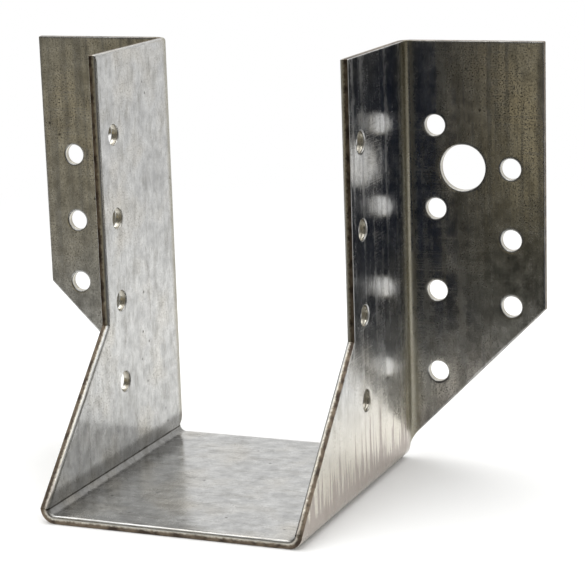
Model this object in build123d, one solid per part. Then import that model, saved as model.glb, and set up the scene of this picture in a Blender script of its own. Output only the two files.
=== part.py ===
from build123d import *
import os
from math import radians, tan

# A face-fix joist hanger: one strip of galvanised sheet, cut, punched and folded into a U that
# carries a timber joist, with a flange turned outwards at each side for fixing to the header.
# Frame: X across the joist, Y along it (-Y is the open front, +Y the header), Z up.
# The origin is the middle of the footprint, on the underside of the seat; the flanges' back
# faces lie on the header plane at the +Y end.

# Driving dimensions, in millimetres
sheet_thickness = 2.0
bend_radius = 1.5  # inside radius of every fold
joist_width = 60.0  # clear width between the side plates
joist_height = 100.0  # from the seat to the top edge
seat_depth = 71.0
side_depth = 40.0  # of the upper side plates, from the header plane to their front edge
flange_width = 33.8  # from a side plate's outer face to its flange's outer edge
flange_toe_height = 5.0  # where the flange's sloping lower edge would meet the side plate
slope_angle = 45.0  # of the side plates' front cut and of the flanges' lower edge, in degrees

nail_hole_diameter = 5.0
bolt_hole_diameter = 11.0

# Flange holes: distance outwards from the side plate's outer face, and drops from the top edge
inner_nail_offset = 7.0
inner_nail_drops = [20.0, 40.0, 60.0, 80.0]
outer_nail_offset = 25.5
outer_nail_drops = [30.0, 47.0, 63.0]
bolt_offset = 13.8
bolt_drop = 30.0

# Side-plate holes: distance back from the plate's front edge, and drops from the top edge
joist_nail_offset = 7.0
joist_nail_drops = [19.5, 39.5, 59.5, 79.5]

# Derived dimensions
outer_radius = bend_radius + sheet_thickness
inner_half_width = joist_width / 2
outer_half_width = inner_half_width + sheet_thickness
flange_half_width = outer_half_width + flange_width
total_height = sheet_thickness + joist_height
overall_depth = seat_depth + outer_radius  # the seat stops at the flanges' fold lines
header_y = overall_depth / 2
fold_y = header_y - outer_radius
front_y = -overall_depth / 2
side_front_y = header_y - side_depth
slope = tan(radians(slope_angle))
side_base = outer_radius  # the side plates rise straight from the seat's folds at this height
front_slope_top = side_base + (side_front_y - front_y) * slope
flange_start_x = outer_half_width + bend_radius  # the flange is flat from here outwards
flange_start_z = flange_toe_height + bend_radius * slope
flange_slope_top = flange_toe_height + flange_width * slope


def folded_section(corners):
    """Section of the folded sheet. The corners are those of its convex face, sheet on the left."""
    convex_face = FilletPolyline(*corners, radius=outer_radius)
    return make_face(offset(convex_face, amount=sheet_thickness, side=Side.LEFT))


def seat_and_sides():
    """The U that holds the joist: its section over the seat's depth, cut to the side outline."""
    section = folded_section([
        (-outer_half_width, total_height),
        (-outer_half_width, 0),
        (outer_half_width, 0),
        (outer_half_width, total_height),
    ])
    u_strip = extrude(Plane.XZ.offset(-fold_y) * section, amount=seat_depth)
    side_outline = make_face(Polyline(
        (front_y, 0),
        (fold_y, 0),
        (fold_y, total_height),
        (side_front_y, total_height),
        (side_front_y, front_slope_top),
        (front_y, side_base),
        close=True,
    ))
    return u_strip & extrude(Plane.YZ * side_outline, amount=outer_half_width, both=True)


def fold_cut():
    """What lies below the sheet's edge in the right flange's fold.

    The edge climbs from the side plate's base to the flange's slope while it turns through the
    fold, square to the sheet all the way, so the cut is a quarter turn of a left-handed screw.
    """
    middle_radius = bend_radius + sheet_thickness / 2
    climb = flange_start_z - side_base
    path = Helix(pitch=4 * climb, height=climb, radius=middle_radius, lefthand=True)
    blade = Plane.XZ * Pos(middle_radius, -side_base / 2) * Rectangle(2 * sheet_thickness, side_base)
    cut = sweep(blade, path=path, is_frenet=True)
    return Pos(flange_start_x, fold_y, side_base) * Rot(0, 0, 180) * cut


def right_flange():
    """The right side plate, fold and flange in one plan section, its lower edge cut to shape."""
    section = folded_section([
        (flange_half_width, header_y),
        (inner_half_width, header_y),
        (inner_half_width, side_front_y),
    ])
    upright = extrude(Plane.XY.offset(side_base) * section, amount=total_height - side_base)
    below_slope = make_face(Polyline(
        (flange_start_x, 0),
        (flange_half_width, 0),
        (flange_half_width, flange_slope_top),
        (flange_start_x, flange_start_z),
        close=True,
    ))
    return upright - fold_cut() - extrude(Plane.XZ.offset(-header_y) * below_slope, amount=sheet_thickness)


def punches(sheet_plane, centres, diameter):
    """Round punches through the sheet whose middle lies on the plane."""
    circles = [Pos(*centre) * Circle(diameter / 2) for centre in centres]
    return extrude(sheet_plane * (Sketch() + circles), amount=sheet_thickness, both=True)


def right_punches():
    """Every hole of the right side: nails and a bolt in the flange, nails in the side plate."""
    flange_plane = Plane.XZ.offset(-(header_y - sheet_thickness / 2))
    side_plane = Plane.YZ.offset(inner_half_width + sheet_thickness / 2)
    inner_x = outer_half_width + inner_nail_offset
    outer_x = outer_half_width + outer_nail_offset
    header_nails = [(inner_x, total_height - drop) for drop in inner_nail_drops]
    header_nails += [(outer_x, total_height - drop) for drop in outer_nail_drops]
    header_bolt = [(outer_half_width + bolt_offset, total_height - bolt_drop)]
    joist_nail_y = side_front_y + joist_nail_offset
    joist_nails = [(joist_nail_y, total_height - drop) for drop in joist_nail_drops]
    return (
        punches(flange_plane, header_nails, nail_hole_diameter)
        + punches(flange_plane, header_bolt, bolt_hole_diameter)
        + punches(side_plane, joist_nails, nail_hole_diameter)
    )


def joist_hanger():
    """The whole hanger, one folded piece, the same on both sides of the joist."""
    flange = right_flange()
    holes = right_punches()
    folded = seat_and_sides() + flange + mirror(flange, about=Plane.YZ)
    return folded - holes - mirror(holes, about=Plane.YZ)


os.makedirs("parts", exist_ok=True)
export_step(joist_hanger(), "parts/joist_hanger.step")
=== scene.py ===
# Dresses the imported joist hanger: one galvanised strip, blanked, pierced and folded, on a pale floor.
import math
import bmesh
import bpy
import numpy as np
from mathutils import Matrix, Vector, noise
from mathutils.geometry import delaunay_2d_cdt


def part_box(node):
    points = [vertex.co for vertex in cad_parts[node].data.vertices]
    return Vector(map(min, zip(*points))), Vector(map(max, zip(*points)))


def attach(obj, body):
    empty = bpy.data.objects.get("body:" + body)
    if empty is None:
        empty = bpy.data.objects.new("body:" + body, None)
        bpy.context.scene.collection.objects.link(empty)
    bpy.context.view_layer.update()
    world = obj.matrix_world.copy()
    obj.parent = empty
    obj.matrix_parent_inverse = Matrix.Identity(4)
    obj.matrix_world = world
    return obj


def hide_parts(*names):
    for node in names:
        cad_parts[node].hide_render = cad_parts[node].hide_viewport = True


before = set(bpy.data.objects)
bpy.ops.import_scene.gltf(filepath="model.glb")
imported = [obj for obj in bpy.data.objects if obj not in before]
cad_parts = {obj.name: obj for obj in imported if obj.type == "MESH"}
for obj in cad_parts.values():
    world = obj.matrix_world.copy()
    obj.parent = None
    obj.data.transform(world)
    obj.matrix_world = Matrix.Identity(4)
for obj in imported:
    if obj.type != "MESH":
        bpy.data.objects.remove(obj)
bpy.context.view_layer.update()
sheetLow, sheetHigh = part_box("joist_hanger")
mm = 0.001
print("frame loaded")


def linear(hexColour):
    # sRGB hex to the linear values that a shader takes
    parts = [int(hexColour[i:i + 2], 16) / 255 for i in (1, 3, 5)]
    return tuple(p / 12.92 if p <= 0.04045 else ((p + 0.055) / 1.055) ** 2.4 for p in parts) + (1.0,)


def addNode(tree, kind, inputs=(), **settings):
    # adds a node with its settings; an input is a value, a socket, or a node whose first output it takes
    node = tree.nodes.new(kind)
    for name, value in settings.items():
        setattr(node, name, value)
    for key, value in (inputs.items() if isinstance(inputs, dict) else enumerate(inputs)):
        source = value.outputs[0] if isinstance(value, bpy.types.Node) else value
        if isinstance(source, bpy.types.NodeSocket):
            tree.links.new(source, node.inputs[key])
        elif source is not None:
            node.inputs[key].default_value = source
    return node


# The flat blank, in millimetres: s runs along the strip from the middle of the seat, t runs from
# the open front towards the header, and n goes through the sheet, + on the side the joist lies in.
blankSizes = {
    "sheetThickness": 2.0,
    "bendRadius": 1.5,  # inside radius of every fold
    "joistWidth": 60.0,
    "sideDepth": 40.0,  # upper side plates, from the header plane to their front edge
    "flangeToeHeight": 5.0,
    "gridStep": 1.5,  # of the mesh on the flat faces
    "foldSteps": 10,  # mesh columns round a quarter bend
    "cornerRadius": 0.3,  # of the shear's corners
    "edgeReach": 1.2,  # how far the rounded edge comes in from the cut
    "foldSwell": 0.09,  # what a fold squeezes out at its ends
    "waviness": 0.06,  # a rolled sheet is never quite flat
}
thickness = blankSizes["sheetThickness"]
halfSheet = thickness / 2
midRadius = blankSizes["bendRadius"] + halfSheet
outerRadius = blankSizes["bendRadius"] + thickness
quarterArc = midRadius * math.pi / 2
frontY, headerY = sheetLow.y / mm, sheetHigh.y / mm
topZ, flangeOuterX = sheetHigh.z / mm, sheetHigh.x / mm
seatFlatHalf = blankSizes["joistWidth"] / 2 - blankSizes["bendRadius"]
sideOuterX = blankSizes["joistWidth"] / 2 + thickness
sideFoot = seatFlatHalf + quarterArc
foldLine = headerY - outerRadius
flangeFoot = foldLine + quarterArc
sideFrontY = headerY - blankSizes["sideDepth"]
flangeWidth = flangeOuterX - sideOuterX


def alongStrip(z):
    return sideFoot + z - outerRadius


def acrossFlange(x):
    return flangeFoot + x - sideOuterX - blankSizes["bendRadius"]


rightCorners = [
    (sideFoot, frontY),
    (alongStrip(outerRadius + sideFrontY - frontY), sideFrontY),
    (alongStrip(topZ), sideFrontY),
    (alongStrip(topZ), acrossFlange(flangeOuterX)),
    (alongStrip(blankSizes["flangeToeHeight"] + flangeWidth), acrossFlange(flangeOuterX)),
    (alongStrip(blankSizes["flangeToeHeight"] + blankSizes["bendRadius"]), flangeFoot),
    (sideFoot, foldLine),
]
blankCorners = rightCorners + [(-s, t) for s, t in reversed(rightCorners)]

# Holes: their places on the flanges and side plates, as drops from the top edge
holePattern = {
    "nailRadius": 2.5,
    "boltRadius": 5.5,
    "rimReach": 1.1,  # how far the sheet is drawn in round a hole
    "joistNailOffset": 7.0,  # behind the side plate's front edge
    "joistNailDrops": (19.5, 39.5, 59.5, 79.5),
    "nailDrops": (20.0, 40.0, 60.0, 80.0),
    "innerNailX": 7.0,  # outwards from the side plate's outer face
    "outerNailX": 25.5,
    "outerNailDrops": (30.0, 47.0, 63.0),
    "boltX": 13.8,
    "boltDrop": 30.0,
    "nailSides": 48,
    "boltSides": 96,
}
topS = alongStrip(topZ)
joistNail, headerNail, headerBolt = 1, 2, 3
rightHoles = [(topS - d, sideFrontY + holePattern["joistNailOffset"], joistNail)
              for d in holePattern["joistNailDrops"]]
rightHoles += [(topS - d, acrossFlange(sideOuterX + holePattern["innerNailX"]), headerNail)
               for d in holePattern["nailDrops"]]
rightHoles += [(topS - d, acrossFlange(sideOuterX + holePattern["outerNailX"]), headerNail)
               for d in holePattern["outerNailDrops"]]
rightHoles += [(topS - holePattern["boltDrop"], acrossFlange(sideOuterX + holePattern["boltX"]),
                headerBolt)]
holes = rightHoles + [(-s, t, kind) for s, t, kind in rightHoles]
holeRadius = {joistNail: holePattern["nailRadius"], headerNail: holePattern["nailRadius"],
              headerBolt: holePattern["boltRadius"]}
holeSides = {joistNail: holePattern["nailSides"], headerNail: holePattern["nailSides"],
             headerBolt: holePattern["boltSides"]}


def ruled(low, high, step):
    # evenly spaced values from low to high, about a step apart
    return list(np.linspace(low, high, max(2, round((high - low) / step) + 1)))


gridStep, foldSteps = blankSizes["gridStep"], blankSizes["foldSteps"]
halfColumns = ruled(0, seatFlatHalf, gridStep)[1:-1] + ruled(seatFlatHalf, sideFoot,
                                                             quarterArc / foldSteps)
halfColumns += ruled(sideFoot, topS, gridStep)[1:]
stripColumns = [-s for s in reversed(halfColumns)] + [0.0] + halfColumns
stripRows = ruled(frontY, foldLine, gridStep)[:-1] + ruled(foldLine, flangeFoot, quarterArc / foldSteps)
stripRows += ruled(flangeFoot, acrossFlange(flangeOuterX), gridStep)[1:]


def foldShare(s, t):
    # how much a place lies in a seat fold (+) or a header fold (-), from 0 to 1
    seat = 1 - ((abs(s) - seatFlatHalf - quarterArc / 2) / (quarterArc * 0.62)) ** 2
    header = 1 - ((t - foldLine - quarterArc / 2) / (quarterArc * 0.62)) ** 2 if abs(s) > sideFoot else 0
    return max(0, seat) - max(0, header)


def outlinePoints(corners, radius, reach):
    # one entry for each point round the outline: how it lies for any distance in from the cut
    points = []
    count = len(corners)
    for i, corner in enumerate(corners):
        before, here, after = (Vector(corners[j % count]) for j in (i - 1, i, i + 1))
        arriving, leaving = (here - before).normalized(), (after - here).normalized()
        outBefore, outAfter = Vector((arriving.y, -arriving.x)), Vector((leaving.y, -leaving.x))
        turn = math.atan2(arriving.cross(leaving), arriving.dot(leaving))
        bisector = (outBefore + outAfter).normalized()
        convex = 1 if turn > 0 else -1
        centre = here - bisector * convex * radius / math.cos(turn / 2)
        arcSteps = max(2, round(abs(turn) / 0.4))
        for k in range(arcSteps + 1):
            spin = Matrix.Rotation(turn * k / arcSteps, 2)
            points.append(("corner", centre, spin @ outBefore, bisector / math.cos(turn / 2), convex))
        following = Vector(corners[(i + 2) % count])
        nextLeaving = (following - after).normalized()
        nextTurn = math.atan2(leaving.cross(nextLeaving), leaving.dot(nextLeaving))
        length = (after - here).length
        start = radius * math.tan(abs(turn) / 2)
        start += max(0, reach - radius) * math.tan(turn / 2) if turn > 0 else 0
        stop = radius * math.tan(abs(nextTurn) / 2)
        stop = length - stop - (max(0, reach - radius) * math.tan(nextTurn / 2) if nextTurn > 0 else 0)
        if abs(leaving.x) < 1e-9:
            marks = [abs(t - here.y) for t in stripRows if min(here.y, after.y) < t < max(here.y,
                                                                                          after.y)]
        elif abs(leaving.y) < 1e-9:
            marks = [abs(s - here.x) for s in stripColumns if min(here.x, after.x) < s < max(here.x,
                                                                                             after.x)]
        else:
            marks = [length * k / math.ceil(length) for k in range(1, math.ceil(length))]
        clear = min(0.2, length / 20)
        for mark in sorted(marks):
            if start + clear < mark < stop - clear:
                points.append(("run", here + leaving * mark, outAfter, None, 1))
    return points


def pointAt(entry, distance, radius):
    kind, place, outward, miter, convex = entry
    if kind == "run":
        return place - outward * distance
    if convex < 0:
        return place - outward * (radius + distance)
    if distance < radius:
        return place + outward * (radius - distance)
    return place - miter * (distance - radius)


outline = outlinePoints(blankCorners, blankSizes["cornerRadius"], blankSizes["edgeReach"])


# The cut round the outline, from the joist side to the outside: distance in from the cut, height
# in half sheets, and 1 where it is bare cut metal. The shear rounds the joist side, leaves a
# bright burnished band, then a torn band that leans in, and a fine burr.
outlineCut = [
    (1.20, 1.000, 0), (0.95, 1.000, 0), (0.72, 0.985, 0), (0.50, 0.940, 0), (0.32, 0.865, 0), (0.17,
                                                                                               0.750, 0),
    (0.07, 0.600, 0), (0.02, 0.440, 0), (0.00, 0.290, 1), (0.00, 0.050, 1), (0.00, -0.150,
                                                                             1), (0.03, -0.230, 1),
    (0.05, -0.450, 1), (0.07, -0.720, 1), (0.07, -0.900, 1), (0.12, -0.975, 0), (0.24, -1.000, 0),
    (0.60, -1.000, 0), (1.20, -1.000, 0),
]
# The same for a pierced hole, from the outside to the joist side: the zinc rounds both its mouths
holeCut = [
    (1.10, -1.000, 0), (0.70, -1.000, 0), (0.42, -0.995, 0), (0.26, -0.970, 0), (0.13, -0.915, 0),
    (0.05, -0.840, 0), (0.01, -0.740, 0), (0.00, -0.620, 1), (0.00, -0.300, 1), (0.00, 0.050, 1),
    (-0.02, 0.120, 1), (-0.03, 0.400, 1), (-0.03, 0.700, 1), (0.00, 0.800, 0), (0.05, 0.890, 0),
    (0.12, 0.955, 0), (0.24, 0.990, 0), (0.42, 1.000, 0), (0.70, 1.000, 0), (1.10, 1.000, 0),
]


def cutRing(distance, height, tornShare):
    # one loop of the outline's cut, with the tear's unevenness and the folds' swell
    ring = []
    for entry in outline:
        s, t = pointAt(entry, distance, blankSizes["cornerRadius"])
        uneven = noise.noise(Vector((s, t, height * 3)) * 0.9) * 0.5 + noise.noise(Vector((s, t,
                                                                                           7)) * 2.3) * 0.5
        outward = entry[2] * (1 if entry[4] > 0 else -1)
        fade = max(0, 1 - distance / blankSizes["edgeReach"])
        swell = blankSizes["foldSwell"] * foldShare(s, t) * height * fade
        place = Vector((s, t)) + outward * (swell + tornShare * 0.035 * uneven)
        ring.append((place.x, place.y, halfSheet * (height + tornShare * 0.10 * uneven)))
    return ring


def insidePolygon(points, polygon):
    x, y = points[:, 0], points[:, 1]
    inside = np.zeros(len(points), bool)
    for (x0, y0), (x1, y1) in zip(polygon, np.roll(polygon, -1, axis=0)):
        if y0 != y1:
            crosses = (y0 > y) != (y1 > y)
            inside ^= crosses & (x < (x1 - x0) * (y - y0) / (y1 - y0) + x0)
    return inside


def distanceToPolygon(points, polygon):
    nearest = np.full(len(points), 1e9)
    for a, b in zip(polygon, np.roll(polygon, -1, axis=0)):
        run = b - a
        share = np.clip(((points - a) @ run) / max(run @ run, 1e-12), 0, 1)
        nearest = np.minimum(nearest, np.linalg.norm(points - a - share[:, None] * run, axis=1))
    return nearest


def flatTriangles():
    # the blank's flat face in the (s, t) plane, cut round with its holes open
    reach = blankSizes["edgeReach"]
    loop = []
    for entry in outline:
        place = pointAt(entry, reach, blankSizes["cornerRadius"])
        if not loop or (place - loop[-1]).length > 1e-6:
            loop.append(place)
    polygon = np.array([tuple(p) for p in loop])
    places = [tuple(p) for p in loop]
    edges = [(i, (i + 1) % len(loop)) for i in range(len(loop))]
    for s, t, kind in holes:
        first, sides = len(places), holeSides[kind]
        radius = holeRadius[kind] + holePattern["rimReach"]
        for k in range(sides):
            angle = 2 * math.pi * k / sides
            places.append((s + radius * math.cos(angle), t + radius * math.sin(angle)))
            edges.append((first + k, first + (k + 1) % sides))
    grid = np.array([(s, t) for s in stripColumns for t in stripRows])
    keep = insidePolygon(grid, polygon) & (distanceToPolygon(grid, polygon) > 0.45)
    for s, t, kind in holes:
        radius = holeRadius[kind] + holePattern["rimReach"]
        keep &= np.hypot(grid[:, 0] - s, grid[:, 1] - t) > radius + 0.4
    places += [tuple(p) for p in grid[keep]]
    found, _, triangles, _, _, _ = delaunay_2d_cdt([Vector(p) for p in places], edges, [], 1, 1e-6)
    found = np.array([tuple(p) for p in found])
    triangles = np.array([tuple(t) for t in triangles])
    middles = found[triangles].mean(axis=1)
    keep = insidePolygon(middles, polygon)
    for s, t, kind in holes:  # slivers inside a rim's many-sided loop go too
        radius = holeRadius[kind] + holePattern["rimReach"]
        keep &= np.hypot(middles[:, 0] - s, middles[:, 1] - t) > radius
    return found, triangles[keep]


def blankMesh():
    # both faces and the cut edge of the flat blank, and one loose point at each hole's middle
    places, triangles = flatTriangles()
    verts, faces, bare, worn = [], [], [], []
    for height, order in ((1, (0, 1, 2)), (-1, (2, 1, 0))):
        first = len(verts)
        verts += [(s, t, height * halfSheet) for s, t in places]
        faces += [tuple(int(first + tri[k]) for k in order) for tri in triangles]
        bare += [0] * len(places)
        worn += [0] * len(places)
    count = len(outline)
    first = len(verts)
    for distance, height, cut in outlineCut:
        verts += cutRing(distance, height, cut)
        bare += [cut] * count
        worn += [rubbed(distance, height)] * count
    for ring in range(len(outlineCut) - 1):
        for k in range(count):
            a, b = first + ring * count + k, first + ring * count + (k + 1) % count
            faces.append((a, a + count, b + count, b))
    mesh = bpy.data.meshes.new("blank")
    holeFirst = len(verts)
    verts += [(s, t, 0) for s, t, kind in holes]
    bare += [0] * len(holes)
    worn += [0] * len(holes)
    mesh.from_pydata([Vector(v) * mm for v in verts], [], faces)
    kinds = [0] * holeFirst + [kind for s, t, kind in holes]
    mesh.attributes.new("holeKind", "INT", "POINT").data.foreach_set("value", kinds)
    mesh.attributes.new("bareCut", "FLOAT", "POINT").data.foreach_set("value", [float(b) for b in bare])
    mesh.attributes.new("rubbed", "FLOAT", "POINT").data.foreach_set("value", [float(w) for w in worn])
    return mesh


def rubbed(distance, height):
    # how worn the zinc is, from 0 on the flat face to 1 where it rounds over into the cut
    return min(1, (1 - abs(height)) * 2.5 + max(0, 0.25 - distance))


def rimMesh(name, radius, sides, seed):
    # a pierced hole's rounded mouth, burnished and torn walls, and burr, about its own middle
    verts, faces, bare, worn = [], [], [], []
    for distance, height, cut in holeCut:
        for k in range(sides):
            angle = 2 * math.pi * k / sides
            heading = Vector((math.cos(angle), math.sin(angle), 0))
            uneven = noise.noise(heading * 2.1 + Vector((0, 0, seed + height * 2)))
            torn = cut * min(1, max(0, height + 0.5))
            reach = radius + distance + 0.03 * torn * uneven
            verts.append((reach * heading.x, reach * heading.y,
                          halfSheet * (height + 0.07 * cut * uneven)))
            bare.append(float(cut))
            worn.append(float(rubbed(distance, height)))
    for ring in range(len(holeCut) - 1):
        for k in range(sides):
            a, b = ring * sides + k, ring * sides + (k + 1) % sides
            faces.append((a, a + sides, b + sides, b))
    mesh = bpy.data.meshes.new(name)
    mesh.from_pydata([Vector(v) * mm for v in verts], [], faces)
    mesh.attributes.new("bareCut", "FLOAT", "POINT").data.foreach_set("value", bare)
    mesh.attributes.new("rubbed", "FLOAT", "POINT").data.foreach_set("value", worn)
    rim = bpy.data.objects.new(name, mesh)
    bpy.context.scene.collection.objects.link(rim)
    return rim


# Hot-dip galvanised sheet: dipped in zinc, wiped and skin-passed between rolls, so it is a cold
# bright grey that mirrors softly, streaked along the strip, with fine spangle and handling marks.
galvanised = {
    "zinc": "#d2d2d0",
    "zincDull": "#a5a5a4",
    "zincWarm": "#c0baae",
    "smear": "#85837d",
    "stain": "#67625a",
    "pit": "#35322d",
    "foldTone": "#8f8975",
    # painted shade for the seat creases
    "creaseShade": "#3a362f",
    # painted floor reflections low on the outer side plates: a pinkish-grey band in ragged tongues, and a
    # cream band
    "reflectionTongue": "#aea49e",
    "creamReflection": "#e3ddcf",
    "roughness": 0.11,
    "flangeSpeck": "#3b382f",
    "streakWidth": 0.5,  # mm across the rolling direction
    "streakLength": 30.0,
    "bandWidth": 2.2,
    "bandLength": 90.0,
    "smearWidth": 3.6,
    "smearLength": 8.0,
    "scuffWidth": 0.9,
    "scuffLength": 4.0,
    "reflectionTongueWidth": 1.1,  # of the ragged tongues of painted floor reflection above each seat fold
    "reflectionTongueLength": 60.0,
    "scratchWidth": 0.3,
    "scratchLength": 26.0,
    "spangle": 3.4,  # mm, a fine minimised spangle
    "speckle": 0.45,
    "patch": 17.0,
    "pitSpacing": 3.2,
}


def galvanisedMaterial():
    material = bpy.data.materials.new("hotDipGalvanisedSheet")
    material.use_nodes = True
    tree = material.node_tree
    tree.nodes.clear()
    g = galvanised
    place = addNode(tree, "ShaderNodeAttribute", attribute_name="blankPlace").outputs["Vector"]
    s, t, n = addNode(tree, "ShaderNodeSeparateXYZ", [place]).outputs
    # patterns drawn along or across the strip: one over the size in millimetres each way, then a
    # step that sets the two faces apart, detail and roughness of the noise
    drawnPatterns = {
        "streak": ((1 / g["streakLength"], 1 / g["streakWidth"], 5.0), 3.0, 0.6),
        "band": ((1 / g["bandLength"], 1 / g["bandWidth"], 9.0), 2.0, 0.5),
        "smear": ((1 / g["smearLength"], 1 / g["smearWidth"], 3.0), 5.0, 0.62),
        "scuff": ((1 / g["scuffLength"], 1 / g["scuffWidth"], 7.0), 3.0, 0.55),
        "scratch": ((1 / g["scratchWidth"], 1 / g["scratchLength"], 4.0), 2.0, 0.5),
        "spangle": ((1 / g["spangle"], 1 / g["spangle"], 9.0), 4.0, 0.65),
        "speckle": ((1 / g["speckle"], 1 / g["speckle"], 60.0), 2.0, 0.7),
        "patch": ((1 / g["patch"], 1 / g["patch"], 2.0), 3.0, 0.55),
        "reflectionTongue": ((1 / g["reflectionTongueLength"], 1 / g["reflectionTongueWidth"], 5.0), 2.0, 0.6),
    }
    pattern = {}
    for name, (scales, detail, roughness) in drawnPatterns.items():
        scaled = addNode(tree, "ShaderNodeVectorMath", {0: place, 1: scales}, operation="MULTIPLY")
        pattern[name] = addNode(tree, "ShaderNodeTexNoise",
                                {"Vector": scaled, "Scale": 1.0, "Detail": detail,
                                                             "Roughness": roughness})
    pitPlace = addNode(tree, "ShaderNodeVectorMath", {0: place, 1: (1.0, 1.0, 30.0)},
                       operation="MULTIPLY")
    pits = addNode(tree, "ShaderNodeTexVoronoi", {"Vector": pitPlace, "Scale": 1 / g["pitSpacing"]})
    # base tone: bright zinc, duller where the spangle and the rolls left it so
    tone = addNode(tree, "ShaderNodeMath", {0: pattern["streak"], 1: 0.07, 2: 0.065},
                   operation="MULTIPLY_ADD")
    tone = addNode(tree, "ShaderNodeMath", {0: pattern["spangle"], 1: 0.5, 2: tone},
                   operation="MULTIPLY_ADD")
    tone = addNode(tree, "ShaderNodeMath", {0: pattern["patch"], 1: 0.3, 2: tone},
                   operation="MULTIPLY_ADD")
    tone = addNode(tree, "ShaderNodeMapRange", {0: tone, 1: 0.40, 2: 0.60, 3: 0.0, 4: 1.0})
    base = addNode(tree, "ShaderNodeMix", {0: tone, 6: linear(g["zincDull"]), 7: linear(g["zinc"])},
                   data_type="RGBA")
    warmth = addNode(tree, "ShaderNodeMapRange", {0: pattern["patch"], 1: 0.5, 2: 0.7, 3: 0.0, 4: 0.6})
    base = addNode(tree, "ShaderNodeMix", {0: warmth, 6: base.outputs[2], 7: linear(g["zincWarm"])},
                   data_type="RGBA")
    # soft grey smears and finer scuffs, drawn out along the strip by the rolls and the folding tool
    smear = addNode(tree, "ShaderNodeMapRange", {0: pattern["smear"], 1: 0.50, 2: 0.76, 3: 0.0, 4: 0.75})
    base = addNode(tree, "ShaderNodeMix", {0: smear, 6: base.outputs[2], 7: linear(g["smear"])},
                   data_type="RGBA")
    scuff = addNode(tree, "ShaderNodeMapRange", {0: pattern["scuff"], 1: 0.56, 2: 0.70, 3: 0.0, 4: 0.45})
    base = addNode(tree, "ShaderNodeMix", {0: scuff, 6: base.outputs[2], 7: linear(g["smear"])},
                   data_type="RGBA")
    # fine dark speckle, thicker in some patches, as dried passivation leaves
    grime = addNode(tree, "ShaderNodeMapRange", {0: pattern["speckle"], 1: 0.50, 2: 0.68, 3: 0.0, 4: 1.0})
    grimePatch = addNode(tree, "ShaderNodeMapRange",
                         {0: pattern["patch"], 1: 0.40, 2: 0.62, 3: 0.10, 4: 0.55})
    grime = addNode(tree, "ShaderNodeMath", [grime, grimePatch], operation="MULTIPLY")
    base = addNode(tree, "ShaderNodeMix", {0: grime, 6: base.outputs[2], 7: linear(g["stain"])},
                   data_type="RGBA")
    # the flanges carry darker specks and bands, from the rolls of the flanging tool
    onFlange = addNode(tree, "ShaderNodeMapRange",
                       {0: t, 1: flangeFoot - 1.0, 2: flangeFoot + 1.0, 3: 0.0, 4: 1.0})
    specks = addNode(tree, "ShaderNodeMapRange",
                     {0: pattern["speckle"], 1: 0.48, 2: 0.66, 3: 0.0, 4: 0.5})
    bandMark = addNode(tree, "ShaderNodeMapRange",
                       {0: pattern["band"], 1: 0.44, 2: 0.62, 3: 0.0, 4: 0.35})
    specks = addNode(tree, "ShaderNodeMath", [specks, bandMark], operation="MAXIMUM")
    specks = addNode(tree, "ShaderNodeMath", [specks, onFlange], operation="MULTIPLY")
    base = addNode(tree, "ShaderNodeMix", {0: specks, 6: base.outputs[2], 7: linear(g["flangeSpeck"])},
                   data_type="RGBA")
    # sparse dark pits: about a fifth of the cells have one
    chosen = addNode(tree, "ShaderNodeSeparateColor", {0: pits.outputs["Color"]})
    chosen = addNode(tree, "ShaderNodeMath", {0: chosen, 1: 0.8}, operation="GREATER_THAN")
    pit = addNode(tree, "ShaderNodeMapRange",
                  {0: pits.outputs["Distance"], 1: 0.06, 2: 0.15, 3: 0.8, 4: 0.0})
    pit = addNode(tree, "ShaderNodeMath", [pit, chosen], operation="MULTIPLY")
    base = addNode(tree, "ShaderNodeMix", {0: pit, 6: base.outputs[2], 7: linear(g["pit"])},
                   data_type="RGBA")
    # header folds: the stretched zinc is crazed, so it is duller and olive, out to a few millimetres
    outwards = addNode(tree, "ShaderNodeMath", [s], operation="ABSOLUTE")
    headerOff = addNode(tree, "ShaderNodeMath", {0: t, 1: foldLine + quarterArc / 2},
                        operation="SUBTRACT")
    headerOff = addNode(tree, "ShaderNodeMath", [headerOff], operation="ABSOLUTE")
    headerFold = addNode(tree, "ShaderNodeMapRange", {0: headerOff, 1: 1.2, 2: 3.8, 3: 0.85, 4: 0.0},
                         interpolation_type="SMOOTHSTEP")
    beyondSeat = addNode(tree, "ShaderNodeMath", {0: outwards, 1: sideFoot - 0.5},
                         operation="GREATER_THAN")
    headerFold = addNode(tree, "ShaderNodeMath", [headerFold, beyondSeat], operation="MULTIPLY")
    foldGrain = addNode(tree, "ShaderNodeMapRange",
                        {0: pattern["speckle"], 1: 0.35, 2: 0.65, 3: 0.7, 4: 1.1})
    headerFold = addNode(tree, "ShaderNodeMath", [headerFold, foldGrain], operation="MULTIPLY")
    base = addNode(tree, "ShaderNodeMix", {0: headerFold, 6: base.outputs[2], 7: linear(g["foldTone"])},
                   data_type="RGBA")
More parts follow.
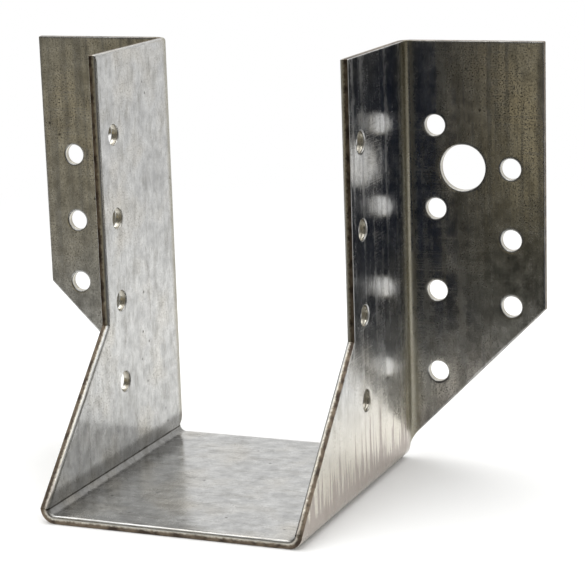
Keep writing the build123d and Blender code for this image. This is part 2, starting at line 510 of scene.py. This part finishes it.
    # painted shade: the crease where each side plate rises from the seat is darkened, with a fainter band
    # beside it out to a few millimetres, on the joist side only
    creaseOff = addNode(tree, "ShaderNodeMath", {0: outwards, 1: sideFoot - 0.3}, operation="SUBTRACT")
    creaseOff = addNode(tree, "ShaderNodeMath", [creaseOff], operation="ABSOLUTE")
    creaseWander = addNode(tree, "ShaderNodeMath", {0: pattern["spangle"], 1: -0.5, 2: creaseOff},
                           operation="MULTIPLY_ADD")
    creaseShade = addNode(tree, "ShaderNodeMapRange", {0: creaseWander, 1: -0.06, 2: 0.22, 3: 1.0, 4: 0.0},
                     interpolation_type="SMOOTHSTEP")
    creaseShadeSpread = addNode(tree, "ShaderNodeMapRange", {0: creaseOff, 1: 2.4, 2: 4.4, 3: 0.55, 4: 0.0},
                   interpolation_type="SMOOTHSTEP")
    creaseShade = addNode(tree, "ShaderNodeMath", [creaseShade, creaseShadeSpread], operation="MAXIMUM")
    joistSide = addNode(tree, "ShaderNodeMath", {0: n, 1: 0.5}, operation="GREATER_THAN")
    creaseShade = addNode(tree, "ShaderNodeMath", [creaseShade, joistSide], operation="MULTIPLY")
    base = addNode(tree, "ShaderNodeMix", {0: creaseShade, 6: base.outputs[2], 7: linear(g["creaseShade"])},
                   data_type="RGBA")
    # painted reflection of the floor: outside each seat fold, a pinkish-grey band with ragged tongues
    # climbs the side plate
    climb = addNode(tree, "ShaderNodeMapRange", {0: pattern["reflectionTongue"], 1: 0.42, 2: 0.68, 3: 0.0, 4: 13.0})
    climb = addNode(tree, "ShaderNodeMath", {0: outwards, 1: climb}, operation="SUBTRACT")
    outside = addNode(tree, "ShaderNodeMath", {0: n, 1: 0.5}, operation="LESS_THAN")
    onSide = addNode(tree, "ShaderNodeMapRange",
                     {0: t, 1: foldLine - 2.0, 2: foldLine + 1.0, 3: 1.0, 4: 0.0})
    outside = addNode(tree, "ShaderNodeMath", [outside, onSide], operation="MULTIPLY")
    reflectionTongue = addNode(tree, "ShaderNodeMapRange",
                     {0: climb, 1: sideFoot + 1.0, 2: sideFoot + 2.6, 3: 0.85, 4: 0.0})
    above = addNode(tree, "ShaderNodeMapRange",
                    {0: outwards, 1: seatFlatHalf, 2: sideFoot, 3: 0.0, 4: 1.0})
    reflectionTongue = addNode(tree, "ShaderNodeMath", [reflectionTongue, above], operation="MULTIPLY")
    reflectionTongue = addNode(tree, "ShaderNodeMath", [reflectionTongue, outside], operation="MULTIPLY")
    # painted reflection: a cream band over the lower outer side plate, under the tongues, as the bright
    # floor would be mirrored there
    creamReflection = addNode(tree, "ShaderNodeMapRange",
                    {0: outwards, 1: sideFoot + 8.0, 2: sideFoot + 26.0, 3: 0.85, 4: 0.0})
    creamReflection = addNode(tree, "ShaderNodeMath", [creamReflection, above], operation="MULTIPLY")
    creamReflection = addNode(tree, "ShaderNodeMath", [creamReflection, outside], operation="MULTIPLY")
    base = addNode(tree, "ShaderNodeMix", {0: creamReflection, 6: base.outputs[2], 7: linear(g["creamReflection"])},
                   data_type="RGBA")
    base = addNode(tree, "ShaderNodeMix", {0: reflectionTongue, 6: base.outputs[2], 7: linear(g["reflectionTongue"])},
                   data_type="RGBA")
    # scratches across the strip come in a few patches
    scratch = addNode(tree, "ShaderNodeMapRange",
                      {0: pattern["scratch"], 1: 0.56, 2: 0.68, 3: 0.0, 4: 1.0})
    scratched = addNode(tree, "ShaderNodeMapRange",
                        {0: pattern["patch"], 1: 0.46, 2: 0.60, 3: 0.05, 4: 0.8})
    scratch = addNode(tree, "ShaderNodeMath", [scratch, scratched], operation="MULTIPLY")
    # roughness: each mark scatters more than the clean zinc; rubbed edges are the dullest
    worn = addNode(tree, "ShaderNodeAttribute", attribute_name="rubbed").outputs["Fac"]
    rough = addNode(tree, "ShaderNodeMapRange",
                    {0: pattern["spangle"], 1: 0.35, 2: 0.7, 3: g["roughness"] - 0.02,
                                                 4: g["roughness"] + 0.10})
    bands = addNode(tree, "ShaderNodeMapRange", {0: pattern["band"], 1: 0.45, 2: 0.68, 3: -0.02, 4: 0.12})
    rough = addNode(tree, "ShaderNodeMath", [rough, bands], operation="ADD")
    marks = ((pattern["streak"], 0.05), (grime, 0.40), (smear, 0.12), (scuff, 0.08), (scratch, 0.16),
             (headerFold, 0.16), (worn, 0.16), (creaseShade, 0.2), (reflectionTongue, 0.15))
    for mark, amount in marks:
        rough = addNode(tree, "ShaderNodeMath", {0: mark, 1: amount, 2: rough}, operation="MULTIPLY_ADD")
    # rolling marks a few micrometres deep, with the spangle's gentler relief under them
    relief = pattern["streak"]
    for mark, amount in ((pattern["spangle"], 1.6), (pattern["smear"], 2.0), (pattern["scuff"], 1.0),
                         (pit, -1.5)):
        relief = addNode(tree, "ShaderNodeMath", {0: mark, 1: amount, 2: relief},
                         operation="MULTIPLY_ADD")
    bump = addNode(tree, "ShaderNodeBump", {"Strength": 1.0, "Distance": 0.000006, "Height": relief})
    shader = addNode(tree, "ShaderNodeBsdfPrincipled", {"Base Color": base.outputs[2], "Metallic": 1.0,
                                                        "Roughness": rough, "Normal": bump})
    addNode(tree, "ShaderNodeOutputMaterial", {0: shader})
    return material


# Sheared steel edge: the shear's burnished band is smooth and bright, the torn band is a dull
# darker grey-brown, because the zinc stops at the cut and the bare steel tarnishes.
shearedEdge = {
    "burnished": "#c4c0b4",
    "torn": "#75695b",
    "tarnish": "#362d29",
    "burnishedRoughness": 0.25,
    "tornRoughness": 0.5,
    "grain": 0.5,  # mm between the tear's fine ridges
    "blotch": 2.5,
}


def shearedMaterial():
    material = bpy.data.materials.new("shearedSteelEdge")
    material.use_nodes = True
    tree = material.node_tree
    tree.nodes.clear()
    e = shearedEdge
    place = addNode(tree, "ShaderNodeAttribute", attribute_name="blankPlace").outputs["Vector"]
    torn = addNode(tree, "ShaderNodeAttribute", attribute_name="tornShare").outputs["Fac"]
    pierced = addNode(tree, "ShaderNodeAttribute", attribute_name="pierced").outputs["Fac"]
    grain = addNode(tree, "ShaderNodeTexNoise", {"Vector": place, "Scale": 1 / e["grain"], "Detail": 3.0})
    blotch = addNode(tree, "ShaderNodeTexNoise",
                     {"Vector": place, "Scale": 1 / e["blotch"], "Detail": 4.0})
    blotch = addNode(tree, "ShaderNodeMapRange", {0: blotch, 1: 0.42, 2: 0.62, 3: 0.0, 4: 0.85})
    dull = addNode(tree, "ShaderNodeMix", {0: blotch, 6: linear(e["torn"]), 7: linear(e["tarnish"])},
                   data_type="RGBA")
    edge = addNode(tree, "ShaderNodeMath", {0: grain, 1: 0.5, 2: torn}, operation="MULTIPLY_ADD")
    edge = addNode(tree, "ShaderNodeMapRange", {0: edge, 1: 0.55, 2: 0.85, 3: 0.0, 4: 1.0})
    base = addNode(tree, "ShaderNodeMix", {0: edge, 6: linear(e["burnished"]), 7: dull.outputs[2]},
                   data_type="RGBA")
    # a pierced hole's wall is wiped smooth by the punch
    wiped = addNode(tree, "ShaderNodeMath", {0: pierced, 1: 0.7}, operation="MULTIPLY")
    base = addNode(tree, "ShaderNodeMix", {0: wiped, 6: base.outputs[2], 7: linear(e["burnished"])},
                   data_type="RGBA")
    rough = addNode(tree, "ShaderNodeMapRange",
                    {0: edge, 3: e["burnishedRoughness"], 4: e["tornRoughness"]})
    rough = addNode(tree, "ShaderNodeMath", {0: wiped, 1: -0.16, 2: rough}, operation="MULTIPLY_ADD")
    bump = addNode(tree, "ShaderNodeBump", {"Strength": 1.0, "Distance": 0.00003, "Height": grain})
    shader = addNode(tree, "ShaderNodeBsdfPrincipled", {"Base Color": base.outputs[2], "Metallic": 1.0,
                                                        "Roughness": rough, "Normal": bump})
    addNode(tree, "ShaderNodeOutputMaterial", {0: shader})
    return material


def foldingTree(galvanisedSheet, shearedSteel):
    # sets a rim in every hole of a flat blank, then folds it: flanges first, side plates after
    tree = bpy.data.node_groups.new("foldBlank", "GeometryNodeTree")
    tree.interface.new_socket("Geometry", in_out="INPUT", socket_type="NodeSocketGeometry")
    for name in ("Joist Nail Rim", "Header Nail Rim", "Header Bolt Rim"):
        tree.interface.new_socket(name, in_out="INPUT", socket_type="NodeSocketObject")
    for name in ("Sheet Thickness", "Middle Radius", "Seat Flat Half", "Header Fold Line", "Waviness"):
        tree.interface.new_socket(name, in_out="INPUT", socket_type="NodeSocketFloat")
    tree.interface.new_socket("Geometry", in_out="OUTPUT", socket_type="NodeSocketGeometry")
    given = addNode(tree, "NodeGroupInput").outputs
    kind = addNode(tree, "GeometryNodeInputNamedAttribute", {"Name": "holeKind"}, data_type="INT")
    isHole = addNode(tree, "FunctionNodeCompare", {2: kind, 3: 0}, data_type="INT",
                     operation="GREATER_THAN")
    split = addNode(tree, "GeometryNodeSeparateGeometry", {0: given["Geometry"], 1: isHole},
                    domain="POINT")
    joined = addNode(tree, "GeometryNodeJoinGeometry", {0: split.outputs[1]})
    rims = (("Joist Nail Rim", joistNail), ("Header Nail Rim", headerNail),
            ("Header Bolt Rim", headerBolt))
    for name, number in rims:
        rim = addNode(tree, "GeometryNodeObjectInfo", {"Object": given[name]})
        wanted = addNode(tree, "FunctionNodeCompare", {2: kind, 3: number}, data_type="INT",
                         operation="EQUAL")
        # a rim turns by whole sides, so its loops still meet the sheet's
        sides = holeSides[number]
        turn = addNode(tree, "FunctionNodeRandomValue", {4: 0, 5: sides - 1, "Seed": number},
                       data_type="INT")
        turn = addNode(tree, "ShaderNodeMath", {0: turn.outputs[2], 1: 2 * math.pi / sides},
                       operation="MULTIPLY")
        spin = addNode(tree, "ShaderNodeCombineXYZ", {2: turn})
        placed = addNode(tree, "GeometryNodeInstanceOnPoints",
                         {"Points": split, "Selection": wanted, "Instance": rim.outputs["Geometry"],
                          "Rotation": spin})
        tree.links.new(placed.outputs[0], joined.inputs[0])
    whole = addNode(tree, "GeometryNodeRealizeInstances", [joined])
    whole = addNode(tree, "GeometryNodeMergeByDistance", {"Geometry": whole, "Distance": 0.000004})
    flat = addNode(tree, "GeometryNodeInputPosition")
    inMillimetres = addNode(tree, "ShaderNodeVectorMath", {0: flat, "Scale": 1000.0}, operation="SCALE")
    whole = addNode(tree, "GeometryNodeStoreNamedAttribute",
                    {"Geometry": whole, "Name": "blankPlace", "Value": inMillimetres.outputs[0]},
                    data_type="FLOAT_VECTOR", domain="POINT")
    parts = addNode(tree, "ShaderNodeSeparateXYZ", [flat])
    s, t, n = parts.outputs
    # the waves lie along the sheet's two faces alike
    level = addNode(tree, "ShaderNodeCombineXYZ", [s, t])
    wave = addNode(tree, "ShaderNodeTexNoise", {"Vector": level, "Scale": 28.0, "Detail": 1.0})
    wave = addNode(tree, "ShaderNodeMath", {0: wave, 1: 0.5}, operation="SUBTRACT")
    n = addNode(tree, "ShaderNodeMath", {0: wave, 1: given["Waviness"], 2: n}, operation="MULTIPLY_ADD")
    radius, quarter = given["Middle Radius"], math.pi / 2
    quarterRun = addNode(tree, "ShaderNodeMath", {0: radius, 1: quarter}, operation="MULTIPLY")
    # header folds: each flange turns outwards past its fold line
    beyond = addNode(tree, "ShaderNodeMath", [t, given["Header Fold Line"]], operation="SUBTRACT")
    beyond = addNode(tree, "ShaderNodeMath", {0: beyond, 1: 0.0}, operation="MAXIMUM")
    angle = addNode(tree, "ShaderNodeMath", [beyond, radius], operation="DIVIDE")
    angle = addNode(tree, "ShaderNodeMath", {0: angle, 1: quarter}, operation="MINIMUM")
    extra = addNode(tree, "ShaderNodeMath", [beyond, quarterRun], operation="SUBTRACT")
    extra = addNode(tree, "ShaderNodeMath", {0: extra, 1: 0.0}, operation="MAXIMUM")
    swing = addNode(tree, "ShaderNodeMath", [radius, n], operation="ADD")
    sine = addNode(tree, "ShaderNodeMath", [angle], operation="SINE")
    cosine = addNode(tree, "ShaderNodeMath", [angle], operation="COSINE")
    depth = addNode(tree, "ShaderNodeMath", [t, given["Header Fold Line"]], operation="MINIMUM")
    depth = addNode(tree, "ShaderNodeMath", [swing, sine, depth], operation="MULTIPLY_ADD")
    height = addNode(tree, "ShaderNodeMath", [swing, cosine], operation="MULTIPLY")
    height = addNode(tree, "ShaderNodeMath", [height, radius], operation="SUBTRACT")
    height = addNode(tree, "ShaderNodeMath", [height, extra], operation="SUBTRACT")
    # seat folds: both ends of the strip stand up
    length = addNode(tree, "ShaderNodeMath", [s], operation="ABSOLUTE")
    side = addNode(tree, "ShaderNodeMath", [s], operation="SIGN")
    beyond = addNode(tree, "ShaderNodeMath", [length, given["Seat Flat Half"]], operation="SUBTRACT")
    beyond = addNode(tree, "ShaderNodeMath", {0: beyond, 1: 0.0}, operation="MAXIMUM")
    angle = addNode(tree, "ShaderNodeMath", [beyond, radius], operation="DIVIDE")
    angle = addNode(tree, "ShaderNodeMath", {0: angle, 1: quarter}, operation="MINIMUM")
    extra = addNode(tree, "ShaderNodeMath", [beyond, quarterRun], operation="SUBTRACT")
    extra = addNode(tree, "ShaderNodeMath", {0: extra, 1: 0.0}, operation="MAXIMUM")
    swing = addNode(tree, "ShaderNodeMath", [radius, height], operation="SUBTRACT")
    sine = addNode(tree, "ShaderNodeMath", [angle], operation="SINE")
    cosine = addNode(tree, "ShaderNodeMath", [angle], operation="COSINE")
    reach = addNode(tree, "ShaderNodeMath", [length, given["Seat Flat Half"]], operation="MINIMUM")
    reach = addNode(tree, "ShaderNodeMath", [swing, sine, reach], operation="MULTIPLY_ADD")
    reach = addNode(tree, "ShaderNodeMath", [reach, side], operation="MULTIPLY")
    rise = addNode(tree, "ShaderNodeMath", [swing, cosine], operation="MULTIPLY")
    middle = addNode(tree, "ShaderNodeMath", {0: given["Sheet Thickness"], 1: 0.5, 2: radius},
                     operation="MULTIPLY_ADD")
    rise = addNode(tree, "ShaderNodeMath", [middle, rise], operation="SUBTRACT")
    rise = addNode(tree, "ShaderNodeMath", [rise, extra], operation="ADD")
    folded = addNode(tree, "ShaderNodeCombineXYZ", [reach, depth, rise])
    whole = addNode(tree, "GeometryNodeSetPosition", {"Geometry": whole, "Position": folded})
    whole = addNode(tree, "GeometryNodeSetShadeSmooth", {"Geometry": whole})
    whole = addNode(tree, "GeometryNodeRealizeInstances", [whole])
    bare = addNode(tree, "GeometryNodeInputNamedAttribute", {"Name": "bareCut"}, data_type="FLOAT")
    isCut = addNode(tree, "FunctionNodeCompare", {0: bare, 1: 0.6}, data_type="FLOAT",
                    operation="GREATER_THAN")
    whole = addNode(tree, "GeometryNodeSetMaterial", {"Geometry": whole, "Material": galvanisedSheet})
    whole = addNode(tree, "GeometryNodeSetMaterial",
                    {"Geometry": whole, "Selection": isCut, "Material": shearedSteel})
    addNode(tree, "NodeGroupOutput", [whole])
    return tree


def setInputs(modifier, values):
    for item in modifier.node_group.interface.items_tree:
        if item.item_type == "SOCKET" and item.in_out == "INPUT" and item.name in values:
            modifier[item.identifier] = values[item.name]


def foldedHanger():
    galvanisedSheet, shearedSteel = galvanisedMaterial(), shearedMaterial()
    flat = bpy.data.objects.new("flatBlank", blankMesh())
    bpy.context.scene.collection.objects.link(flat)
    print("blank cut:", len(flat.data.polygons), "faces,", len(holes), "holes")
    rims = {
        "Joist Nail Rim": rimMesh("joistNailRim", holePattern["nailRadius"], holePattern["nailSides"],
                                  1.3),
        "Header Nail Rim": rimMesh("headerNailRim", holePattern["nailRadius"], holePattern["nailSides"],
                                   4.7),
        "Header Bolt Rim": rimMesh("headerBoltRim", holePattern["boltRadius"], holePattern["boltSides"],
                                   8.1),
    }
    modifier = flat.modifiers.new("foldBlank", "NODES")
    modifier.node_group = foldingTree(galvanisedSheet, shearedSteel)
    setInputs(modifier, {**rims, "Sheet Thickness": thickness * mm, "Middle Radius": midRadius * mm,
                         "Seat Flat Half": seatFlatHalf * mm, "Header Fold Line": foldLine * mm,
                         "Waviness": blankSizes["waviness"] * mm})
    bpy.context.view_layer.update()
    folded = bpy.data.meshes.new_from_object(flat.evaluated_get(bpy.context.evaluated_depsgraph_get()))
    flat.modifiers.clear()
    for spare in (flat, *rims.values()):
        bpy.data.objects.remove(spare)
    work = bmesh.new()
    work.from_mesh(folded)
    bmesh.ops.remove_doubles(work, verts=work.verts, dist=1e-6)
    bmesh.ops.dissolve_degenerate(work, edges=work.edges, dist=1e-6)
    bmesh.ops.recalc_face_normals(work, faces=work.faces)
    openEdges = sum(1 for edge in work.edges if len(edge.link_faces) != 2)
    print("folded: volume", round(work.calc_volume() / mm ** 3), "cubic mm,", openEdges, "open edges")
    work.to_mesh(folded)
    work.free()
    # how far a point on the cut lies into the torn band, from the burnished one
    heights = np.zeros(len(folded.vertices) * 3)
    folded.attributes["blankPlace"].data.foreach_get("vector", heights)
    s, t, n = heights.reshape(-1, 3).T
    nearHole = np.zeros(len(s), bool)
    for holeS, holeT, kind in holes:
        nearHole |= np.hypot(s - holeS, t - holeT) < holeRadius[kind] + 0.5
    torn = np.where(nearHole, n, -n) * 0.5 + 0.5
    folded.attributes.new("tornShare", "FLOAT", "POINT").data.foreach_set("value", torn)
    folded.attributes.new("pierced", "FLOAT", "POINT").data.foreach_set("value", nearHole.astype(float))
    hanger = bpy.data.objects.new("hangerSheet", folded)
    folded.name = "hangerSheet"
    bpy.context.scene.collection.objects.link(hanger)
    return hanger


hanger = foldedHanger()
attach(hanger, "root")
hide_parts("joist_hanger")
print("hanger dressed:", len(hanger.data.polygons), "faces")

# Plain studio: pale floor and white surround, a soft lamp, and dark cards that the camera doesn't
# see, low in front of the metal, which the flanges mirror as a real room would be mirrored.
studio = {
    "floor": "#f6f6f5",
    "surroundLight": 0.86,
    "lampPower": 7.0,
    "lampSize": 1.2,
    "lampPlace": (-0.1, 0.1, 0.9),
    "floorReach": 6.0,
    "cardBack": -0.245,
    "cardSide": 0.40,
    "cardTop": 0.45,
    "cardNear": "#a9a69d",
    "cardUpper": "#ada285",
    "cardLower": "#3a3c38",
    "cardHigh": "#6c6b68",
    "cardMiddle": "#0c1a2e",
    "cardRight": "#10203a",
    "cardSides": "#6f6853",
}


def studioFloor():
    # matt round the object, so it takes the shadow, and a plain white glow further off
    material = bpy.data.materials.new("paleBoard")
    material.use_nodes = True
    tree = material.node_tree
    tree.nodes.clear()
    place = addNode(tree, "ShaderNodeTexCoord").outputs["Object"]
    away = addNode(tree, "ShaderNodeVectorMath", [place], operation="LENGTH")
    away = addNode(tree, "ShaderNodeMapRange",
                   {0: away.outputs["Value"], 1: 0.12, 2: 0.42, 3: 0.0, 4: 1.0},
                   interpolation_type="SMOOTHSTEP")
    matt = addNode(tree, "ShaderNodeBsdfDiffuse", {"Color": linear(studio["floor"])})
    glow = addNode(tree, "ShaderNodeEmission", {"Color": linear("#ffffff"), "Strength": 1.0})
    board = addNode(tree, "ShaderNodeMixShader", [away, matt, glow])
    addNode(tree, "ShaderNodeOutputMaterial", {0: board})
    mesh = bpy.data.meshes.new("floor")
    size = studio["floorReach"]
    mesh.from_pydata([(-size, -size, 0), (size, -size, 0), (size, size, 0), (-size, size, 0)], [],
                     [(0, 1, 2, 3)])
    floor = bpy.data.objects.new("floor", mesh)
    floor.data.materials.append(material)
    bpy.context.scene.collection.objects.link(floor)


def darkCard():
    # one bent sheet, seen only in reflections: flat on the floor in front of the object, then upright,
    # round to both sides. It glows in painted tones, which paint the reflections in the metal
    material = bpy.data.materials.new("darkCard")
    material.use_nodes = True
    tree = material.node_tree
    tree.nodes.clear()
    place = addNode(tree, "ShaderNodeTexCoord").outputs["Object"]
    x, y, z = addNode(tree, "ShaderNodeSeparateXYZ", [place]).outputs
    rise = addNode(tree, "ShaderNodeMapRange", {0: z, 1: 0.0, 2: 0.02, 3: 0.0, 4: 1.0})
    leftward = addNode(tree, "ShaderNodeMapRange", {0: x, 1: -0.11, 2: -0.07, 3: 1.0, 4: 0.0})
    upper = addNode(tree, "ShaderNodeMath", [rise, leftward], operation="MAXIMUM")
    tone = addNode(tree, "ShaderNodeMix",
                   {0: upper, 6: linear(studio["cardLower"]), 7: linear(studio["cardUpper"])},
                   data_type="RGBA")
    # a dark strip that the flange mirrors close to its fold
    middle = addNode(tree, "ShaderNodeMath", {0: x, 1: -0.055}, operation="SUBTRACT")
    middle = addNode(tree, "ShaderNodeMath", [middle], operation="ABSOLUTE")
    middle = addNode(tree, "ShaderNodeMapRange", {0: middle, 1: 0.010, 2: 0.032, 3: 1.0, 4: 0.0})
    tone = addNode(tree, "ShaderNodeMix",
                   {0: middle, 6: tone.outputs[2], 7: linear(studio["cardMiddle"])},
                   data_type="RGBA")
    across = addNode(tree, "ShaderNodeMapRange", {0: x, 1: 0.02, 2: 0.07, 3: 0.0, 4: 1.0})
    tone = addNode(tree, "ShaderNodeMix", {0: across, 6: tone.outputs[2], 7: linear(studio["cardRight"])},
                   data_type="RGBA")
    high = addNode(tree, "ShaderNodeMapRange", {0: z, 1: 0.055, 2: 0.11, 3: 0.0, 4: 1.0})
    tone = addNode(tree, "ShaderNodeMix", {0: high, 6: tone.outputs[2], 7: linear(studio["cardHigh"])},
                   data_type="RGBA")
    # the near end stays light, further out on the left: a painted reflection of the pale floor near the
    # object
    slant = addNode(tree, "ShaderNodeMath", {0: x, 1: -0.62, 2: y}, operation="MULTIPLY_ADD")
    near = addNode(tree, "ShaderNodeMapRange", {0: slant, 1: -0.14, 2: -0.05, 3: 0.0, 4: 1.0})
    tone = addNode(tree, "ShaderNodeMix", {0: near, 6: tone.outputs[2], 7: linear(studio["cardNear"])},
                   data_type="RGBA")
    aside = addNode(tree, "ShaderNodeMath", [x], operation="ABSOLUTE")
    aside = addNode(tree, "ShaderNodeMapRange", {0: aside, 1: 0.26, 2: 0.33, 3: 0.0, 4: 1.0})
    tone = addNode(tree, "ShaderNodeMix", {0: aside, 6: tone.outputs[2], 7: linear(studio["cardSides"])},
                   data_type="RGBA")
    glow = addNode(tree, "ShaderNodeEmission", {"Color": tone.outputs[2], "Strength": 1.0})
    addNode(tree, "ShaderNodeOutputMaterial", {0: glow})
    back, top = studio["cardBack"], studio["cardTop"]
    # rows from the near end outwards: half width, y, z
    rows = [(0.20, -0.045, 0.001), (0.30, -0.21, 0.001), (0.31, -0.235, 0.012), (0.315, back, 0.035),
            (0.32, back, top)]
    verts = [(side * half, y, z) for half, y, z in rows for side in (-1, 1)]
    faces = [(2 * k, 2 * k + 1, 2 * k + 3, 2 * k + 2) for k in range(len(rows) - 1)]
    for side in (0, 1):
        first = len(verts)
        x = (-1, 1)[side] * studio["cardSide"]
        verts += [(x, -0.12, 0.02), (x, 0.10, 0.02), (x, 0.10, 0.2), (x, -0.12, top)]
        corner = 2 * (len(rows) - 1) + side
        faces += [(first, first + 1, first + 2, first + 3), (corner - 2, first, first + 3, corner)]
    mesh = bpy.data.meshes.new("darkCard")
    mesh.from_pydata(verts, [], faces)
    card = bpy.data.objects.new("darkCard", mesh)
    card.data.materials.append(material)
    card.visible_camera = card.visible_diffuse = card.visible_shadow = card.visible_transmission = False
    bpy.context.scene.collection.objects.link(card)


def studioLight():
    world = bpy.data.worlds.new("whiteSurround")
    bpy.context.scene.world = world
    world.use_nodes = True
    tree = world.node_tree
    tree.nodes.clear()
    path = addNode(tree, "ShaderNodeLightPath")
    seen = addNode(tree, "ShaderNodeMath", [path.outputs["Is Camera Ray"], path.outputs["Is Glossy Ray"]],
                   operation="MAXIMUM")
    strength = addNode(tree, "ShaderNodeMapRange", {0: seen, 3: studio["surroundLight"], 4: 1.0})
    light = addNode(tree, "ShaderNodeBackground", {"Strength": strength})
    light.inputs["Color"].default_value = (1, 1, 1, 1)
    addNode(tree, "ShaderNodeOutputWorld", {0: light})
    lamp = bpy.data.lights.new("softLamp", "AREA")
    lamp.energy, lamp.size = studio["lampPower"], studio["lampSize"]
    holder = bpy.data.objects.new("softLamp", lamp)
    holder.location = studio["lampPlace"]
    holder.rotation_euler = (Vector((0, 0, 0.03)) - holder.location).to_track_quat("-Z", "Y").to_euler()
    bpy.context.scene.collection.objects.link(holder)


# The camera looks past the right side plate, a little from above, slightly rolled
cameraPlace = {
    "azimuth": 22.57,
    "elevation": 12.72,
    "roll": -1.85,
    "distance": 0.4887,
    "aim": (0.016, 0.0, 0.048),
    "lens": 131.5,
}


def placeCamera():
    c = cameraPlace
    azimuth, elevation, roll = (math.radians(c[k]) for k in ("azimuth", "elevation", "roll"))
    back = Vector((math.sin(azimuth) * math.cos(elevation), -math.cos(azimuth) * math.cos(elevation),
                   math.sin(elevation)))
    data = bpy.data.cameras.new("camera")
    data.lens, data.sensor_width = c["lens"], 36.0
    data.clip_start, data.clip_end = 0.01, 20.0
    camera = bpy.data.objects.new("camera", data)
    camera.location = Vector(c["aim"]) + back * c["distance"]
    camera.rotation_mode = "QUATERNION"
    camera.rotation_quaternion = ((-back).to_track_quat("-Z", "Y").to_matrix()
                                  @ Matrix.Rotation(roll, 3, "Z")).to_quaternion()
    bpy.context.scene.collection.objects.link(camera)
    bpy.context.scene.camera = camera


studioFloor()
darkCard()
studioLight()
placeCamera()
bpy.context.scene.view_settings.view_transform = "Standard"
print("studio set")
